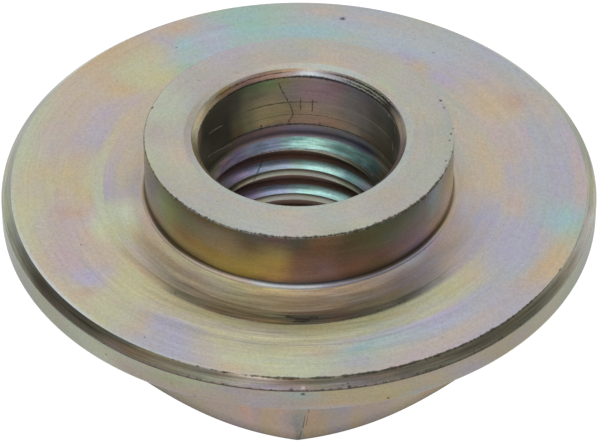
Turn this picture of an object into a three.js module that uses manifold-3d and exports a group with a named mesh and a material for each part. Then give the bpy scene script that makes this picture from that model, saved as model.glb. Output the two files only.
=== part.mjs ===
// Hexagon flange nut with a pilot collar: a hexagon foot, a round clamping flange above it and a turned collar
// on the flange. A counterbore runs down the collar to the thread, which goes on through the foot.
// Millimetres. +Z runs along the thread axis towards the collar. The origin is the centre of the foot's end
// face, so the nut stands on its hexagon, with one hexagon corner towards -Y.
import * as THREE from "three";
import { mergeVertices } from "three/addons/utils/BufferGeometryUtils.js";
import { LoftGeometry } from "three/addons/geometries/LoftGeometry.js";
import Module from "manifold-3d";

// Hexagon foot
const HEX_ACROSS_FLATS = 16;
const HEX_LENGTH = 8.15; // from the end face to the underside of the flange
const END_FACE_INSET = 1.05; // from the flats to the round end face that the corner chamfer leaves
const CORNER_CHAMFER_ANGLE = 33; // degrees from the end face

// Flange
const FLANGE_DIAMETER = 28.4;
const FLANGE_THICKNESS = 1.65; // to the clamping face
const FLANGE_CHAMFER_WIDTH = 0.47; // radial
const FLANGE_CHAMFER_DROP = 0.42; // axial
const FLANGE_UNDERSIDE_ROUNDING = 0.2;

// Shallow dished recess that the facing cut leaves round the collar, and the cone that climbs out of it
const RECESS_FLOOR_WIDTH = 1.98;
const RECESS_DEPTH = 0.22; // at the collar
const RECESS_EDGE_DEPTH = 0.08; // at the foot of the cone
const RECESS_RAMP_WIDTH = 0.8;

// Pilot collar
const COLLAR_DIAMETER = 14.7;
const COLLAR_HEIGHT = 2.8; // above the clamping face
const COLLAR_ROOT_FILLET = 0.25;
const COLLAR_EDGE_BREAK = 0.06;

// Counterbore with its rounded mouth and lead-in chamfer, and the conical shelf where the thread starts
const COUNTERBORE_CLEARANCE = 0.025; // all round the thread's major diameter
const COUNTERBORE_DEPTH = 3.95; // from the collar's end face
const LEAD_IN_WIDTH = 0.3; // radial
const LEAD_IN_DROP = 0.33; // axial
const MOUTH_ROUNDING_WIDTH = 0.42;
const MOUTH_ROUNDING_DROP = 0.05;
const SHELF_ANGLE = 33; // degrees from horizontal

// Right-hand thread, sixteen to the inch on three eighths of an inch
const MAJOR_DIAMETER = 9.525;
const PITCH = 1.5875;
const THREAD_DEPTH = 0.4 * PITCH;
const CREST_WIDTH = PITCH / 4;
const FLANK_ANGLE = 30; // degrees from a plane across the axis
const CREST_HEIGHT_AT_BACK = 0.43; // lowest crest's middle above the end face, on the +Y side
const EXIT_COUNTERSINK_CLEARANCE = 0.34; // all round the major diameter

// Fineness of the facets
const SEGMENTS = 96; // round the axis
const THREAD_STEPS_PER_TURN = 48;
const ARC_STEPS = 4;

// How far a cutter runs past what it cuts
const OVERRUN = 1;
const THREAD_OVERRUN = 0.1; // inwards from the crests, short of the next turn

const radians = THREE.MathUtils.degToRad;
const flangeUnderside = HEX_LENGTH;
const clampingFace = HEX_LENGTH + FLANGE_THICKNESS;
const collarEnd = clampingFace + COLLAR_HEIGHT;
const collarRadius = COLLAR_DIAMETER / 2;
const flangeRadius = FLANGE_DIAMETER / 2;
const endFaceRadius = HEX_ACROSS_FLATS / 2 - END_FACE_INSET;
const cornerRadius = HEX_ACROSS_FLATS / 2 / Math.cos(Math.PI / 6);
const majorRadius = MAJOR_DIAMETER / 2;
const minorRadius = majorRadius - THREAD_DEPTH;
const exitRadius = majorRadius + EXIT_COUNTERSINK_CLEARANCE;
const counterboreRadius = majorRadius + COUNTERBORE_CLEARANCE;
const shelfTop = collarEnd - COUNTERBORE_DEPTH;
const shelfBottom = shelfTop - (counterboreRadius - minorRadius) * Math.tan(radians(SHELF_ANGLE));

const wasm = await Module();
wasm.setup();

function solidOf(geometry) {
  const surface = new THREE.BufferGeometry();
  surface.setAttribute("position", geometry.getAttribute("position"));
  surface.setIndex(geometry.getIndex());
  const merged = mergeVertices(surface);
  return new wasm.Manifold(
    new wasm.Mesh({
      numProp: 3,
      vertProperties: merged.getAttribute("position").array,
      triVerts: new Uint32Array(merged.index.array),
    }),
  );
}

function geometryOf(solid) {
  const mesh = solid.getMesh();
  const geometry = new THREE.BufferGeometry();
  geometry.setAttribute("position", new THREE.BufferAttribute(mesh.vertProperties, 3));
  geometry.setIndex(new THREE.BufferAttribute(mesh.triVerts, 1));
  geometry.computeVertexNormals();
  return geometry;
}

// A solid of revolution about Z. The profile is a list of [radius, height] that climbs from the axis to the axis.
function revolve(profile) {
  const points = profile.map(([radius, height]) => new THREE.Vector2(radius, height));
  return solidOf(new THREE.LatheGeometry(points, SEGMENTS).rotateX(Math.PI / 2));
}

// Points [radius, height] of a circular arc, with both ends. Angles in degrees, 0 outwards and 90 up.
function arc(centreRadius, centreHeight, radius, from, to) {
  return Array.from({ length: ARC_STEPS + 1 }, (_, i) => {
    const angle = radians(from + ((to - from) * i) / ARC_STEPS);
    return [centreRadius + radius * Math.cos(angle), centreHeight + radius * Math.sin(angle)];
  });
}

// Flange and collar in one turned profile, from the middle of the underside up to the middle of the collar's end.
function turnedBody() {
  const rounding = FLANGE_UNDERSIDE_ROUNDING;
  const fillet = COLLAR_ROOT_FILLET;
  const floor = clampingFace - RECESS_DEPTH;
  const rampFoot = collarRadius + RECESS_FLOOR_WIDTH;
  const rimTop = clampingFace - FLANGE_CHAMFER_DROP;
  return revolve([
    [0, flangeUnderside],
    ...arc(flangeRadius - rounding, flangeUnderside + rounding, rounding, -90, 0),
    [flangeRadius, rimTop],
    [flangeRadius - FLANGE_CHAMFER_WIDTH, clampingFace],
    [rampFoot + RECESS_RAMP_WIDTH, clampingFace],
    [rampFoot, clampingFace - RECESS_EDGE_DEPTH],
    ...arc(collarRadius + fillet, floor + fillet, fillet, -90, -180),
    [collarRadius, collarEnd - COLLAR_EDGE_BREAK],
    [collarRadius - COLLAR_EDGE_BREAK, collarEnd],
    [0, collarEnd],
  ]);
}

// The hexagon prism, with its corners chamfered at the end face. It reaches up into the flange.
function hexagonFoot() {
  const height = HEX_LENGTH + FLANGE_THICKNESS / 2;
  const outline = new THREE.Shape();
  for (let corner = 0; corner < 6; corner++) {
    const angle = Math.PI / 6 + (corner * Math.PI) / 3;
    const x = cornerRadius * Math.cos(angle);
    const y = cornerRadius * Math.sin(angle);
    if (corner === 0) outline.moveTo(x, y);
    else outline.lineTo(x, y);
  }
  const prism = solidOf(new THREE.ExtrudeGeometry(outline, { depth: height, bevelEnabled: false }));
  const wide = cornerRadius + OVERRUN;
  const chamfer = revolve([
    [0, 0],
    [endFaceRadius, 0],
    [wide, (wide - endFaceRadius) * Math.tan(radians(CORNER_CHAMFER_ANGLE))],
    [wide, height + OVERRUN],
    [0, height + OVERRUN],
  ]);
  return prism.intersect(chamfer);
}

// Everything the drill, the counterbore and the countersink take out, from below the foot to above the collar.
function boreCutter() {
  const mouthRadius = counterboreRadius + LEAD_IN_WIDTH;
  const mouthHeight = collarEnd - MOUTH_ROUNDING_DROP;
  const mouth = Array.from({ length: ARC_STEPS }, (_, i) => {
    const angle = (Math.PI / 2) * (1 - (i + 1) / ARC_STEPS);
    return [
      mouthRadius + MOUTH_ROUNDING_WIDTH * (1 - Math.sin(angle)),
      mouthHeight + MOUTH_ROUNDING_DROP * Math.cos(angle),
    ];
  });
  return revolve([
    [0, -OVERRUN],
    [exitRadius, -OVERRUN],
    [exitRadius, 0],
    [minorRadius, exitRadius - minorRadius],
    [minorRadius, shelfBottom],
    [counterboreRadius, shelfTop],
    [counterboreRadius, mouthHeight - LEAD_IN_DROP],
    [mouthRadius, mouthHeight],
    ...mouth,
    [mouthRadius + MOUTH_ROUNDING_WIDTH, collarEnd + OVERRUN],
    [0, collarEnd + OVERRUN],
  ]);
}

// The helical groove that leaves the thread standing between its turns.
function threadCutter() {
  const flankSlope = Math.tan(radians(FLANK_ANGLE));
  const widthAt = (radius) => PITCH - CREST_WIDTH - 2 * (radius - minorRadius) * flankSlope;
  const innerRadius = minorRadius - THREAD_OVERRUN;
  const innerHalf = widthAt(innerRadius) / 2;
  const rootHalf = widthAt(majorRadius) / 2;
  const start = -OVERRUN - PITCH;
  const turns = (shelfTop + PITCH - start) / PITCH;
  const steps = Math.ceil(turns * THREAD_STEPS_PER_TURN);
  const grooveAtBack = CREST_HEIGHT_AT_BACK + PITCH / 2;
  const startAngle = Math.PI / 2 + (2 * Math.PI * (start - grooveAtBack)) / PITCH;
  const sections = [];
  for (let step = 0; step <= steps; step++) {
    const angle = startAngle + (2 * Math.PI * step) / THREAD_STEPS_PER_TURN;
    const middle = start + (PITCH * step) / THREAD_STEPS_PER_TURN;
    const at = (radius, height) =>
      new THREE.Vector3(radius * Math.cos(angle), radius * Math.sin(angle), middle + height);
    sections.push([
      at(innerRadius, innerHalf),
      at(majorRadius, rootHalf),
      at(majorRadius, -rootHalf),
      at(innerRadius, -innerHalf),
    ]);
  }
  return solidOf(new LoftGeometry(sections, { capStart: true, capEnd: true }));
}

const finish = new THREE.MeshStandardMaterial({ color: 0xa9a795, roughness: 0.35, metalness: 1 });

const blank = turnedBody().add(hexagonFoot());
const nut = new THREE.Mesh(geometryOf(blank.subtract(boreCutter()).subtract(threadCutter())), finish);
nut.name = "flange_nut";

const part = new THREE.Group();
part.name = "hexagon flange nut with pilot collar";
part.add(nut);

export default part;
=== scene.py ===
"""A hexagon flange nut with a pilot collar, turned from steel, zinc plated and passivated yellow."""
from math import cos, pi, radians, sin, tan

import bpy
import numpy as np
from mathutils import Matrix, Vector


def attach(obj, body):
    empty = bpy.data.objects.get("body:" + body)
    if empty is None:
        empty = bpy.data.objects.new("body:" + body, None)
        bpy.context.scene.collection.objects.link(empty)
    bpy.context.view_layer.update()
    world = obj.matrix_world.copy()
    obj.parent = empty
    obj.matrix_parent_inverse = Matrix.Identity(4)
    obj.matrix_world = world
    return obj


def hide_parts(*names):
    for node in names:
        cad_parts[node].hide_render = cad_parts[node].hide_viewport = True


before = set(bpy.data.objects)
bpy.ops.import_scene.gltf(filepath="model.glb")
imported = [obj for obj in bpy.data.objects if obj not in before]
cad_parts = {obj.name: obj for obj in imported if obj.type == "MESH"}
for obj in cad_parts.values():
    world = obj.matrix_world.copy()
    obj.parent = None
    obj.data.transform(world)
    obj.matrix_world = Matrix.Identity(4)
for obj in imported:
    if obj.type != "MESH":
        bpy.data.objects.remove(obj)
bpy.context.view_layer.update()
scene = bpy.context.scene

# -------------------- sizes in millimetres, as the CAD has them
HEX_ACROSS_FLATS = 16
END_FACE_RADIUS = HEX_ACROSS_FLATS / 2 - 1.05
CORNER_CHAMFER_SLOPE = tan(radians(33))
UNDERSIDE = 8.15
CLAMPING_FACE = UNDERSIDE + 1.65
FLANGE_RADIUS = 14.2
FACE_RADIUS = FLANGE_RADIUS - 0.47
CHAMFER_FOOT = CLAMPING_FACE - 0.42
COLLAR_RADIUS = 7.35
COLLAR_END = CLAMPING_FACE + 2.8
RECESS_FLOOR = CLAMPING_FACE - 0.22
RECESS_RADIUS = COLLAR_RADIUS + 1.98
PITCH = 1.5875
CREST = PITCH / 4
CREST_AT_BACK = 0.43
MAJOR_RADIUS = 4.7625
MINOR_RADIUS = MAJOR_RADIUS - 0.4 * PITCH
EXIT_RADIUS = MAJOR_RADIUS + 0.34
FLANK_SLOPE = tan(radians(30))
BORE_RADIUS = MAJOR_RADIUS + 0.025
SHELF_TOP = COLLAR_END - 3.95
SHELF_SLOPE = tan(radians(33))
LEAD_RADIUS = BORE_RADIUS + 0.3
LEAD_TOP = COLLAR_END - 0.05
LEAD_FOOT = LEAD_TOP - 0.33
MOUTH_RADIUS = LEAD_RADIUS + 0.42

# Sizes that only this mesh has, from the photo
FRONT = 266  # degrees round the axis, where the recess is widest
BAND_TOP = 9.3  # of the duller band at the foot of the counterbore's wall
BORE_START = (0.004, 0.004)  # outwards and up from the band
BORE_END_DROP = 0.015  # below the lead-in, which a fine groove parts from the wall
LEAD_START = (0.012, 0.013)
LEAD_END = (-0.01, -0.012)
HEX_CORNER_DROP = 0.05
HEX_CORNER_SOFTNESS = 0.25
SHELF_ROUNDING = 0.14
EXIT_EDGE = 0.03  # the end face stops this far short of the countersink

# -------------------- columns round the axis
# Even steps, and close ones beside the six corners of the hexagon, which have a small rounding.
EVEN_COLUMNS = 300
even = np.arange(EVEN_COLUMNS) * 360 / EVEN_COLUMNS
close = [30 + 60 * k + off for k in range(6) for off in (-0.55, -0.22, 0.22, 0.55)]
degrees = np.sort(np.concatenate([even, close]))
angle = np.radians(degrees)
COLUMNS = len(degrees)
TINY = 1e-9  # keeps a length above 0
CLOSE_LIMIT = 0.3  # of an even step, for the extra row near an end
ROUNDING_LIMIT = 0.4  # of a side, for the rounding at a corner
RECESS_SPREAD = 38  # degrees either side of the front
SHADE_SPREAD = 62


def wave(seed, low, high, decay):
    """A smooth random curve round the axis, about -1 to 1, that closes on itself."""
    random = np.random.default_rng(seed)
    total = np.zeros(COLUMNS)
    for n in range(low, high + 1):
        total += random.normal() * n ** -decay * np.sin(n * angle + random.uniform(0, 2 * pi))
    return total / np.abs(total).max()


def ring(radius, height):
    """One point of the section in every column."""
    return np.stack([np.full(COLUMNS, 1.0) * radius, np.full(COLUMNS, 1.0) * height], axis=1)


# -------------------- the section, from the bore's mouth round to it
rows = []  # each: points (COLUMNS, 2) as radius and height, zone name, share of the way through the zone


def add(points, zone, share):
    rows.append((points, zone, share))


def run(zone, start, end, count, tight):
    """Rows from start to end. tight gives the distance of one more row close to each end."""
    length = np.maximum(np.linalg.norm(end - start, axis=1), TINY)
    even_shares = [np.full(COLUMNS, k / (count + 1)) for k in range(1, count + 1)]
    first = [np.minimum(tight[0] / length, CLOSE_LIMIT / (count + 1))] if tight[0] else []
    last = [1 - np.minimum(tight[1] / length, CLOSE_LIMIT / (count + 1))] if tight[1] else []
    for share in [np.zeros(COLUMNS)] + first + even_shares + last + [np.ones(COLUMNS)]:
        add(start + (end - start) * share[:, None], zone, share.mean())


def corner(before, at, after, size):
    """The two ends of a small rounding at a corner of the section."""
    def towards(other):
        length = np.maximum(np.linalg.norm(other - at, axis=1), TINY)
        return at + (other - at) * (np.minimum(size, ROUNDING_LIMIT * length) / length)[:, None]
    return towards(before), towards(after)


def bend(zone, start, at, end, count, share=0.5, last_share=None):
    """Rows inside a rounding, on the curve that leaves start towards the corner and arrives at end."""
    for k in range(1, count + 1):
        t = k / (count + 1)
        here = share if last_share is None else share + (last_share - share) * t
        add(start * (1 - t) ** 2 + at * 2 * t * (1 - t) + end * t ** 2, zone, here)


def hexagon():
    """The hexagon's outline as a radius in each column, with its corners just broken."""
    off = (degrees + 30) % 60 - 30
    flat = HEX_ACROSS_FLATS / 2 / np.cos(np.radians(off))
    tip = HEX_ACROSS_FLATS / 2 / cos(pi / 6) - HEX_CORNER_DROP
    return np.minimum(flat, tip + HEX_CORNER_SOFTNESS * np.maximum(flat - tip, 0))


def degrees_from(middle):
    """How far each column is from the middle, -180 to 180."""
    return (degrees - middle + 180) % 360 - 180


def in_front(behind, front):
    """A size in every column that goes from one value behind to another in front. The recess was cut a little
    off the axis, so in front it is deepest, its cone is widest and its corners are sharpest."""
    return behind + (front - behind) * widening


hex_radius = hexagon()
chamfer_height = (hex_radius - END_FACE_RADIUS) * CORNER_CHAMFER_SLOPE
widening = np.exp(-(degrees_from(FRONT) / RECESS_SPREAD) ** 2)
in_shade = np.exp(-(degrees_from(FRONT) / SHADE_SPREAD) ** 2)  # beside the front of the collar
edge_on = np.cos(angle) ** 4  # where the rim is seen along its surface from in front

# the bore's rounded mouth
MOUTH_ROWS = 6
for k in range(MOUTH_ROWS):
    quarter = pi / 2 * (1 - k / MOUTH_ROWS)
    add(ring(LEAD_RADIUS + (MOUTH_RADIUS - LEAD_RADIUS) * (1 - sin(quarter)),
             LEAD_TOP + (COLLAR_END - LEAD_TOP) * cos(quarter)), "mouth", k / MOUTH_ROWS)

# Each stretch of the section: zone, rows, how near its ends one more row lies, the corner where it ends,
# how far the rounding there reaches along each side, then the rounding's own zone, rows and shares.
worn = wave(seed=3, low=9, high=60, decay=0.3)
STRETCHES = (
    ("end", 8, (0, 0.1), ring(COLLAR_RADIUS, COLLAR_END), 0.07 + 0.02 * worn, "collar_edge", 2),
    ("collar", 11, (0.1, 0.1), ring(COLLAR_RADIUS, RECESS_FLOOR), 0.27, "fillet", 6, 0, 1),
    ("recess", 8, (0.05, 0), ring(RECESS_RADIUS, CLAMPING_FACE - in_front(0.01, 0.1)), in_front(0.75, 0.15),
     "crease", 3),
    ("ramp", 5, (0, 0.04), ring(RECESS_RADIUS + in_front(0.1, 0.87), CLAMPING_FACE), in_front(0.53, 0.03),
     "ramp", 2, 1),
    ("face", 17, (0.05, 0.06), ring(FACE_RADIUS, CLAMPING_FACE), 0.02, "face_edge", 1),
    ("chamfer", 4, (0.05, 0.04), ring(FLANGE_RADIUS, CHAMFER_FOOT), 0.05, "rim_edge", 2),
    ("rim", 6, (0.05, 0.06), ring(FLANGE_RADIUS, UNDERSIDE), 0.22, "rim", 4, 1),
    ("underside", 7, (0.06, 0.06), ring(hex_radius, UNDERSIDE), 0.18, "hex_root", 3),
    ("hexagon", 12, (0.08, 0.08), ring(hex_radius, chamfer_height), 0.05, "hex_edge", 2),
    ("cone", 5, (0.05, 0.05), ring(END_FACE_RADIUS, 0), 0.05, "cone", 1, 1))
corners = [ring(MOUTH_RADIUS, COLLAR_END), *[stretch[3] for stretch in STRETCHES], ring(EXIT_RADIUS, 0)]
start = corners[0]
for k, (zone, count, tight, at, size, round_zone, round_count, *span) in enumerate(STRETCHES):
    near, far = corner(corners[k], at, corners[k + 2], size)
    run(zone, start, near, count, tight)
    bend(round_zone, near, at, far, round_count, *span)
    start = far
run("foot", start, ring(EXIT_RADIUS + EXIT_EDGE, 0), 5, (0.05, 0.04))

# the thread: rows that follow the helix, cut off by the exit countersink below and the shelf above
THREAD_TURNS = range(-1, 6)
depth = MAJOR_RADIUS - MINOR_RADIUS
flank = depth * FLANK_SLOPE
ease = 0.03  # the crests' broken edges
turn_profile = [  # height above the lower edge of a crest, and depth outwards from the crest
    (0, 0.35 * ease), (ease, 0), (CREST / 2, 0), (CREST - ease, 0), (CREST, 0.35 * ease),
    (CREST + ease * FLANK_SLOPE + 0.01, ease + 0.01), (CREST + flank * 0.35, depth * 0.35),
    (CREST + flank * 0.6, depth * 0.6), (CREST + flank * 0.75, depth * 0.75), (CREST + flank, depth),
    ((CREST + PITCH) / 2, depth), (PITCH - flank, depth), (PITCH - flank * 0.6, depth * 0.6),
    (PITCH - ease * FLANK_SLOPE - 0.01, ease + 0.01)]
TURN_ROWS = len(turn_profile)
rise, cut = np.array(turn_profile).T
shelf_foot = SHELF_TOP - (BORE_RADIUS - MINOR_RADIUS) * SHELF_SLOPE


def thread_depth(height, crest_foot):
    """How far the thread is cut beyond its crests at a height in one column."""
    return np.interp((height - crest_foot) % PITCH, np.append(rise, PITCH), np.append(cut, cut[0]))


def thread_points():
    """(rows, COLUMNS, 2) of the thread, and the point in each column where the shelf takes over."""
    crest_foot = CREST_AT_BACK + PITCH * (degrees - 90) / 360 - CREST / 2
    turns_of_rows = np.repeat(THREAD_TURNS, TURN_ROWS)
    height = crest_foot + PITCH * turns_of_rows[:, None] + np.tile(rise, len(THREAD_TURNS))[:, None]
    radius = MINOR_RADIUS + np.tile(cut, len(THREAD_TURNS))[:, None]
    radius = np.maximum(radius, EXIT_RADIUS - np.maximum(height, 0))
    radius[height < 0] = EXIT_RADIUS
    height = np.maximum(height, 0)
    top = np.zeros((COLUMNS, 2))
    fine = np.linspace(shelf_foot, SHELF_TOP - 0.002, 400)  # heights tried, up to just below the shelf's top
    for i in range(COLUMNS):
        by_shelf = MINOR_RADIUS + (fine - shelf_foot) / SHELF_SLOPE
        by_thread = MINOR_RADIUS + thread_depth(fine, crest_foot[i])
        meeting = np.argmax(by_shelf >= by_thread - 1e-6)
        top[i] = (max(by_shelf[meeting], MINOR_RADIUS), fine[meeting])
        above = height[:, i] > fine[meeting]
        radius[above, i] = top[i, 0]
        height[above, i] = top[i, 1]
    return np.stack([radius, height], axis=2), top


thread, shelf_start = thread_points()
first_thread_row = len(rows)
for k, points in enumerate(thread):
    add(points, "thread", (k % TURN_ROWS) / TURN_ROWS)
last_thread_row = len(rows) - 1

shelf_top = ring(BORE_RADIUS, SHELF_TOP)
band_top = ring(BORE_RADIUS, BAND_TOP)
lead_foot = ring(BORE_RADIUS, LEAD_FOOT)
near, far = corner(shelf_start, shelf_top, band_top, SHELF_ROUNDING)
run("shelf", shelf_start + (near - shelf_start) * 0.04, near, 8, (0, 0.04))
bend("band", near, shelf_top, far, 4, 0, 0.2)
run("band", far, band_top, 3, (0.04, 0.04))
run("bore", band_top + BORE_START, lead_foot - [0, BORE_END_DROP], 12, (0.04, 0.05))
run("lead", lead_foot + LEAD_START, ring(LEAD_RADIUS, LEAD_TOP) + LEAD_END, 4, (0.03, 0.03))

ROWS = len(rows)
section = np.array([r[0] for r in rows])
zones = [r[1] for r in rows]
shares = np.array([r[2] for r in rows])

# distance along the section in millimetres, in the average column
steps = np.linalg.norm(np.diff(section, axis=0), axis=2).mean(axis=1)
track = np.concatenate([[0], np.cumsum(steps)])

# -------------------- colours of the passivated surface
# The film's thickness sets its tint, as on any iridescent passivate. These are the tints it goes through, and
# the darker ones of shaded or scuffed metal.
TINTS = {
    "straw": (186, 178, 149), "lime": (183, 183, 160), "jade": (161, 176, 164), "aqua": (154, 179, 179),
    "sky": (170, 172, 182), "mist": (168, 167, 173), "lilac": (171, 163, 178), "mauve": (176, 164, 172),
    "rose": (184, 165, 162), "peach": (188, 170, 155), "amber": (190, 165, 140), "sand": (178, 167, 158),
    "grey": (171, 170, 165), "dune": (178, 174, 162), "pearl": (175, 176, 172), "white": (205, 200, 206),
    "clay": (150, 128, 104), "tan": (165, 148, 124), "gold": (196, 168, 104), "brass": (206, 186, 138),
    "wheat": (182, 166, 138), "olive": (140, 130, 90), "moss": (134, 138, 106), "sage": (134, 136, 114),
    "ash": (144, 136, 132), "plum": (146, 128, 134), "maroon": (158, 122, 110), "umber": (132, 112, 96),
    "copper": (172, 134, 116), "bronze": (150, 126, 92), "slate": (124, 122, 134), "teal": (138, 178, 176),
    "smoke": (104, 98, 84), "soot": (72, 66, 54), "steel": (160, 160, 150),
    "khaki": (166, 156, 118), "brown": (150, 118, 88), "fern": (122, 136, 98), "wine": (158, 128, 132),
    "ice": (186, 226, 222), "frost": (208, 214, 230), "orchid": (164, 148, 182), "violet": (170, 161, 180),
    "ink": (92, 92, 112), "azure": (153, 163, 188)}


def linear(name, gain=1):
    """A tint as linear light."""
    v = np.array(TINTS[name]) / 255
    return gain * np.where(v <= 0.04045, v / 12.92, ((v + 0.055) / 1.055) ** 2.4)


def cloud(seed, low, high, grain, decay=0.6):
    """Smooth random patches all over, about -1 to 1: low to high waves a turn, grain of them a millimetre."""
    random = np.random.default_rng(seed)
    total = np.zeros((ROWS, COLUMNS))
    for n in range(low, high + 1):
        for _ in range(2):
            climb = random.normal() * grain * 2 * pi
            phase = n * random.choice([-1, 1]) * angle[None, :] + climb * track[:, None]
            total += random.normal() * n ** -decay * np.sin(phase + random.uniform(0, 2 * pi))
    return total / (2.2 * total.std())


sway = 5 * cloud(seed=21, low=3, high=14, grain=0.18)  # degrees that a tint is shifted round the axis
ripple = cloud(seed=22, low=4, high=26, grain=0.35)  # the same across a zone, as a share


def round_axis(stops, at):
    """Colours at some angles, from stops such as '0 rose, 90 aqua 0.8': degrees, tint and perhaps a gain."""
    pairs = [stop.split() for stop in stops.split(",")]
    where = np.array([float(p[0]) for p in pairs])
    table = np.array([linear(p[1], *map(float, p[2:])) for p in pairs])
    where = np.concatenate([[where[-1] - 360], where, [where[0] + 360]])
    table = np.concatenate([table[-1:], table, table[:1]])
    at = (at - where[1]) % 360 + where[1]
    low = np.clip(np.searchsorted(where, at, side="right") - 1, 0, len(where) - 2)
    t = (at - where[low]) / (where[low + 1] - where[low])
    t = (t * t * (3 - 2 * t))[..., None]
    return table[low] * (1 - t) + table[low + 1] * t


tint = np.zeros((ROWS, COLUMNS, 3))
gloss = np.zeros((ROWS, COLUMNS))  # roughness
metal = np.ones((ROWS, COLUMNS))  # 1 where the film is clear, less where it is cloudy
score = np.ones((ROWS, COLUMNS))  # how strong the turning marks are


def rows_of(zone):
    return [k for k in range(ROWS) if zones[k] == zone]


def paint(zone, roughness, *levels, clear=1, scored=1):
    """Tint a zone. The levels follow each other through it, and each goes round the axis."""
    for k in rows_of(zone):
        place = shares[k] * (len(levels) - 1)
        low = min(int(place), max(len(levels) - 2, 0))
        t = np.clip(place - low + 0.25 * ripple[k] * (len(levels) > 1), 0, 1)[:, None]
        at = degrees + sway[k]
        near = round_axis(levels[low], at)
        far = round_axis(levels[min(low + 1, len(levels) - 1)], at)
        tint[k] = near * (1 - t) + far * t
        gloss[k] = roughness
        metal[k] = clear
        score[k] = scored


def patch(zone, name, centre, wide, middle, deep, strength, gain=1):
    """A patch of another tint, wide degrees and deep millimetres either side of its middle."""
    side = 1 if zone in ("rim", "hexagon") else 0  # the middle is a height there, and a radius elsewhere
    for k in rows_of(zone):
        off = (degrees_from(centre) + 0.5 * sway[k]) / wide
        away = (section[k, :, side] - middle) / deep + 0.3 * ripple[k]
        share = strength * np.exp(-(off ** 2 + away ** 2) ** 1.2)[:, None]
        tint[k] = tint[k] * (1 - share) + linear(name, gain) * share


def patches(zone, wanted):
    """Patches such as 'rose 5 12 13.4 0.3 0.9': tint, degrees, wide, middle, deep, strength, maybe a gain."""
    for one in wanted.split(","):
        name, *numbers = one.split()
        patch(zone, name, *map(float, numbers))


paint("mouth", 0.27,
      "0 grey, 40 sand, 75 pearl 1.1, 95 sand 1.1, 115 sand, 145 sand 0.9, 165 sand 0.8, 190 sand 0.85,"
      "215 grey")
paint("end", 0.30,
      "0 ash 1.5, 15 sand, 30 dune 0.95, 45 lime 0.92, 60 sand, 75 peach, 90 sand 0.95, 105 ash 1.55,"
      "120 sand 0.95, 150 ash 1.45, 165 grey, 180 sand, 195 peach, 210 dune, 225 ash 1.55, 255 ash 1.6,"
      "270 sand 1.05, 285 grey, 300 ash 1.6, 315 ash 1.5, 330 dune 0.92, 345 sand",
      "0 grey 0.93, 30 ash 1.55, 75 ash 1.55, 90 grey, 120 mauve, 135 ash 1.55, 165 lime, 180 sand 0.95,"
      "195 lime 0.93, 210 ash 1.5, 240 grey, 255 grey 1.05, 270 sand 1.05, 285 dune 0.88, 300 dune,"
      "315 ash 1.5, 330 dune 0.92")
paint("collar_edge", 0.30,
      "0 grey, 90 grey, 150 sage, 200 olive 0.8, 250 grey 0.8, 270 sage 0.7, 300 ash, 330 sage")
# The collar's wall: partly the film's own tints, partly painted shade, kept dark for the dark surroundings
# that the wall reflects.
paint("collar", 0.27,
      "0 tan, 25 sage, 50 tan 1.1, 75 mauve 0.8, 100 clay, 125 sage, 150 rose 0.8, 180 clay, 190 ash 1.2,"
      "200 ash 1.05, 212 sage 0.85, 228 clay 0.8, 242 tan 0.75, 252 ash 0.8, 262 wine 0.85, 270 ash 0.8,"
      "280 copper 0.9, 290 moss 0.65, 304 moss 0.75, 312 sage 0.75, 320 sage, 332 pearl, 342 ash 1.1,"
      "352 sage 1.25",
      "0 tan, 20 moss 1.1, 45 amber 0.85, 70 tan, 95 rose 0.75, 120 clay, 145 sage 1.1, 180 clay,"
      "192 sage 1.05, 202 plum 0.95, 212 moss 1.2, 224 sage 1.1, 240 peach 0.9, 250 clay 1.15, 262 brass,"
      "272 copper, 284 copper 0.95, 291 clay 0.8, 300 khaki 0.62, 310 sage 0.9, 320 lime 0.62, 330 jade 1.05,"
      "342 tan 1.2, 352 khaki",
      "0 clay, 30 amber 0.8, 55 clay, 80 moss 1.1, 105 tan 1.1, 130 mauve 0.75, 155 clay, 180 tan,"
      "192 sage 1.3, 202 plum 0.9, 212 moss 1.1, 222 bronze, 232 gold 0.85, 244 gold, 262 gold 1.35,"
      "270 copper 1.05, 282 wine 1.05, 292 maroon 0.85, 303 copper 0.75, 312 wine 0.85, 321 plum 1.05,"
      "332 tan 1.05, 342 tan 1.4, 352 khaki 1.5",
      "0 clay, 20 clay, 50 moss, 75 tan, 100 khaki, 125 clay, 150 copper 0.9, 180 clay, 190 khaki 1.2,"
      "200 olive, 212 olive 0.9, 226 bronze 1.25, 238 gold, 252 gold 0.95, 262 maroon 1.3, 272 plum 0.95,"
      "284 wine 0.85, 292 copper 0.55, 300 bronze 0.7, 310 maroon 0.9, 320 wine 0.95, 332 copper 1.1,"
      "342 amber 1.1, 352 gold 1.2", clear=0.85)
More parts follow.
